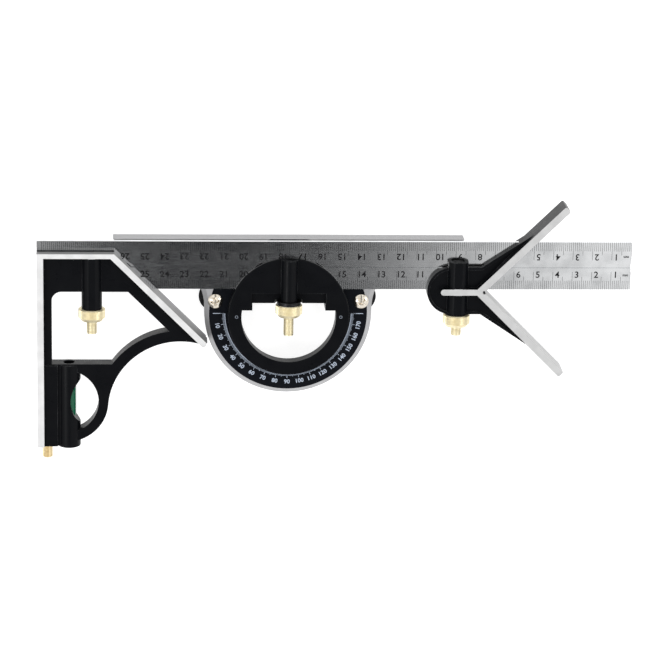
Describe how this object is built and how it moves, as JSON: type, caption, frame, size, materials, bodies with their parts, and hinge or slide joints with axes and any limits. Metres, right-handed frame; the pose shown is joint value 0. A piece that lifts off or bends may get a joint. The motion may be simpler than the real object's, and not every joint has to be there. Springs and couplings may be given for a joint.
{
  "type": "combination square",
  "caption": "Combination square: grooved steel rule carrying a square head with level and scriber, a protractor head and a centre head, each locked by a knurled nut",
  "frame": {"origin": "corner where the square head's 90 degree face meets the rule's lower edge, in the plane of the rule's graduated face", "axes": "+X along the rule from the square head to its free end, +Y across the rule towards its upper edge, +Z out of the graduated face, upwards when the tool lies on its back"},
  "size_m": [0.3025, 0.1352, 0.0279],
  "materials": {
    "rule_steel": "satin ground stainless steel with dark etched graduations",
    "head_enamel": "black semi-gloss enamel on a casting, ground bright on the reference faces",
    "brass": "turned brass, light satin",
    "nickel": "polished nickel plate",
    "black_steel": "black oxide on steel",
    "spring_steel": "drawn spring wire",
    "hardened_steel": "hardened and ground steel",
    "vial_glass": "clear glass tube",
    "vial_liquid": "green spirit",
    "vial_plug": "black sealing compound"
  },
  "bodies": {
    "rule_body": {"rule": "rule_steel"},
    "square_head": {"square_head_casting": "head_enamel", "level_vial_glass": "vial_glass", "level_vial_liquid": "vial_liquid", "level_vial_plug": "vial_plug", "scriber_bush": "brass", "square_clamp_spring": "spring_steel"},
    "scriber": {"scriber_head": "brass", "scriber_needle": "hardened_steel"},
    "square_bolt": {"square_clamp_bolt": "brass"},
    "square_nut": {"square_clamp_nut": "brass"},
    "turret": {"protractor_turret": "head_enamel", "turret_clamp_washer": "black_steel", "turret_clamp_spring": "spring_steel"},
    "turret_bolt": {"turret_clamp_bolt": "brass"},
    "turret_nut": {"turret_clamp_nut": "brass"},
    "protractor": {"protractor_body": "head_enamel", "left_lock_screw": "nickel", "right_lock_screw": "nickel"},
    "left_lock": {"left_lock_washer": "black_steel"},
    "right_lock": {"right_lock_washer": "black_steel"},
    "left_nut": {"left_lock_nut": "black_steel"},
    "right_nut": {"right_lock_nut": "black_steel"},
    "centre_head": {"centre_head_casting": "head_enamel", "centre_clamp_spring": "spring_steel"},
    "centre_bolt": {"centre_clamp_bolt": "brass"},
    "centre_nut": {"centre_clamp_nut": "brass"}
  },
  "joints": [
    {"name": "square_head_slide", "type": "slide", "parent": "rule_body", "child": "square_head", "axis": [1, 0, 0], "range_m": [-0.02, 0]},
    {"name": "scriber_pull", "type": "slide", "parent": "square_head", "child": "scriber", "axis": [0, -1, 0], "range_m": [0, 0.055]},
    {"name": "square_nut_turn", "type": "hinge", "parent": "square_head", "child": "square_nut", "pos_m": [0.0277, -0.013, 0.0011], "axis": [0, -1, 0], "range_deg": [0, 180]},
    {"name": "square_bolt_lift", "type": "slide", "parent": "square_head", "child": "square_bolt", "axis": [0, 1, 0], "range_m": [0, 0.0004]},
    {"name": "turret_slide", "type": "slide", "parent": "rule_body", "child": "turret", "axis": [1, 0, 0], "range_m": [0, 0.016]},
    {"name": "turret_nut_turn", "type": "hinge", "parent": "turret", "child": "turret_nut", "pos_m": [0.1277, -0.011, 0.0011], "axis": [0, -1, 0], "range_deg": [0, 180]},
    {"name": "turret_bolt_lift", "type": "slide", "parent": "turret", "child": "turret_bolt", "axis": [0, 1, 0], "range_m": [0, 0.0004]},
    {"name": "protractor_swivel", "type": "hinge", "parent": "turret", "child": "protractor", "pos_m": [0.1277, -0.0144, -0.0089], "axis": [0, 0, 1], "range_deg": [-1.8, 1.8]},
    {"name": "left_lock_release", "type": "slide", "parent": "protractor", "child": "left_lock", "axis": [0, 0, -1], "range_m": [0, 0.0004]},
    {"name": "left_nut_turn", "type": "hinge", "parent": "left_lock", "child": "left_nut", "pos_m": [0.09035, -0.0077, -0.0167], "axis": [0, 0, -1], "range_deg": [0, 180]},
    {"name": "right_lock_release", "type": "slide", "parent": "protractor", "child": "right_lock", "axis": [0, 0, -1], "range_m": [0, 0.0004]},
    {"name": "right_nut_turn", "type": "hinge", "parent": "right_lock", "child": "right_nut", "pos_m": [0.16505, -0.0077, -0.0167], "axis": [0, 0, -1], "range_deg": [0, 180]},
    {"name": "centre_head_slide", "type": "slide", "parent": "rule_body", "child": "centre_head", "axis": [1, 0, 0], "range_m": [0, 0.07]},
    {"name": "centre_nut_turn", "type": "hinge", "parent": "centre_head", "child": "centre_nut", "pos_m": [0.2136, -0.016, 0.0011], "axis": [0, -1, 0], "range_deg": [0, 180]},
    {"name": "centre_bolt_lift", "type": "slide", "parent": "centre_head", "child": "centre_bolt", "axis": [0, 1, 0], "range_m": [0, 0.0004]}
  ],
  "couplings": [
    {"joint": "square_bolt_lift", "follows": "square_nut_turn", "m_per_rad": 0.00012732},
    {"joint": "turret_bolt_lift", "follows": "turret_nut_turn", "m_per_rad": 0.00012732},
    {"joint": "centre_bolt_lift", "follows": "centre_nut_turn", "m_per_rad": 0.00012732},
    {"joint": "left_lock_release", "follows": "left_nut_turn", "m_per_rad": 0.00012732},
    {"joint": "right_lock_release", "follows": "right_nut_turn", "m_per_rad": 0.00012732}
  ]
}
